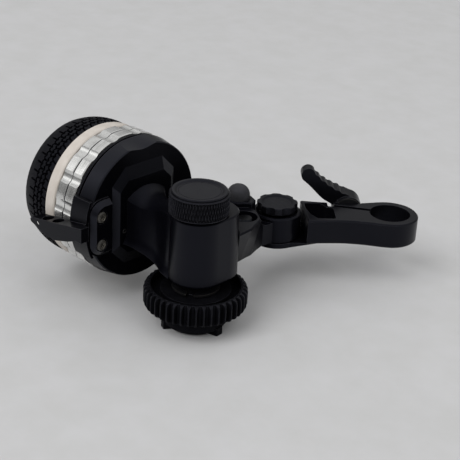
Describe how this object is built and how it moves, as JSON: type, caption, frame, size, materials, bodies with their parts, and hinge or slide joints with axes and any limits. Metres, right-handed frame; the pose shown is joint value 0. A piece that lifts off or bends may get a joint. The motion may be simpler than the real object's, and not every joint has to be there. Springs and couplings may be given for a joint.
{
  "type": "follow focus unit",
  "caption": "Follow focus unit: a grip handwheel turns a focus gear through mitre gears, on a swing link with a lever-locked clamp for a round rod.",
  "frame": {"origin": "centre of the rod bore at the middle of the clamp arm's height", "axes": "+Z along the rod bore, away from the focus gear; -X from the drive axis to the handwheel; +Y from the drive axis towards the rod"},
  "size_m": [0.0979, 0.1188, 0.0597],
  "materials": {
    "black_anodised": "satin black anodised",
    "clear_anodised": "turned, clear anodised",
    "marking_white": "matt, writable",
    "grip_rubber": "matt moulded",
    "black_plastic": "fine moulded grain",
    "button_plastic": "satin moulded",
    "black_steel": "blackened steel",
    "bright_steel": "ground",
    "bronze": "turned"
  },
  "bodies": {
    "rod_clamp": {"clamp_arm": "black_anodised", "hinge_bolt": "black_steel"},
    "lever": {"clamp_bolt": "black_steel", "clamp_lever": "black_anodised", "lever_washer": "black_steel", "lever_screw": "black_steel"},
    "gearbox": {"drum_housing": "black_anodised", "housing_screws": "black_steel", "post_body": "black_anodised", "swing_link": "black_anodised", "upper_bush": "bronze", "lower_bearing": "bright_steel", "wheel_bearing_rear": "bright_steel", "wheel_bearing_front": "bright_steel", "index_bracket": "black_anodised", "index_plate": "black_anodised", "index_screws": "bright_steel", "latch_pin": "bright_steel", "hinge_bush": "bronze", "hinge_washer": "black_steel", "button_spring": "bright_steel", "friction_washer": "black_plastic"},
    "hinge_lock": {"hinge_knob": "black_anodised", "hinge_insert": "bronze"},
    "button": {"release_button": "button_plastic"},
    "drag_ring": {"drag_ring": "black_anodised"},
    "stop_ring_rear": {"stop_ring_rear": "clear_anodised"},
    "stop_ring_front": {"stop_ring_front": "clear_anodised"},
    "handwheel": {"wheel_core": "black_anodised", "grip_tyre": "grip_rubber", "marking_disc": "marking_white", "cover_screws": "black_steel", "wheel_screw": "black_steel", "wheel_shaft": "bright_steel", "wheel_mitre": "bright_steel"},
    "drive_train": {"drive_shaft": "bright_steel", "drive_mitre": "bright_steel", "gear_collar": "black_anodised", "drive_gear": "black_plastic", "gear_hub": "black_anodised", "hub_nut": "bright_steel", "snap_ring": "bright_steel"},
    "gear_lock": {"knurled_knob": "black_anodised", "knob_insert": "bronze"}
  },
  "joints": [
    {"name": "swing", "type": "hinge", "parent": "rod_clamp", "child": "gearbox", "pos_m": [-0.0297, -0.0297, 0], "axis": [0, 0, 1], "range_deg": [-110, 75]},
    {"name": "lever_turn", "type": "hinge", "parent": "rod_clamp", "child": "lever", "pos_m": [-0.01018, -0.01018, 0.0012], "axis": [-0.7071, 0.7071, 0], "range_deg": [-45, 95]},
    {"name": "hinge_lock_turn", "type": "hinge", "parent": "rod_clamp", "child": "hinge_lock", "pos_m": [-0.0297, -0.0297, 0], "axis": [0, 0, 1], "range_deg": [0, 270]},
    {"name": "button_press", "type": "slide", "parent": "gearbox", "child": "button", "axis": [0, 0, -1], "range_m": [0, 0.002], "stiffness_N_per_m": 400, "springref_m": -0.0005, "deforming": ["button_spring"]},
    {"name": "drag_turn", "type": "hinge", "parent": "gearbox", "child": "drag_ring", "pos_m": [-0.0637, -0.0774, 0.0115], "axis": [1, 0, 0], "range_deg": [0, 90]},
    {"name": "stop_rear_turn", "type": "hinge", "parent": "gearbox", "child": "stop_ring_rear", "pos_m": [-0.0637, -0.0774, 0.0115], "axis": [1, 0, 0], "continuous": true},
    {"name": "stop_front_turn", "type": "hinge", "parent": "gearbox", "child": "stop_ring_front", "pos_m": [-0.0637, -0.0774, 0.0115], "axis": [1, 0, 0], "continuous": true},
    {"name": "handwheel_turn", "type": "hinge", "parent": "gearbox", "child": "handwheel", "pos_m": [-0.0637, -0.0774, 0.0115], "axis": [1, 0, 0], "continuous": true},
    {"name": "drive_turn", "type": "hinge", "parent": "gearbox", "child": "drive_train", "pos_m": [-0.0237, -0.0774, 0], "axis": [0, 0, 1], "continuous": true},
    {"name": "gear_lock_turn", "type": "hinge", "parent": "drive_train", "child": "gear_lock", "pos_m": [-0.0237, -0.0774, 0], "axis": [0, 0, 1], "range_deg": [0, 180]}
  ],
  "couplings": [
    {"joint": "drive_turn", "follows": "handwheel_turn", "ratio": -1}
  ]
}
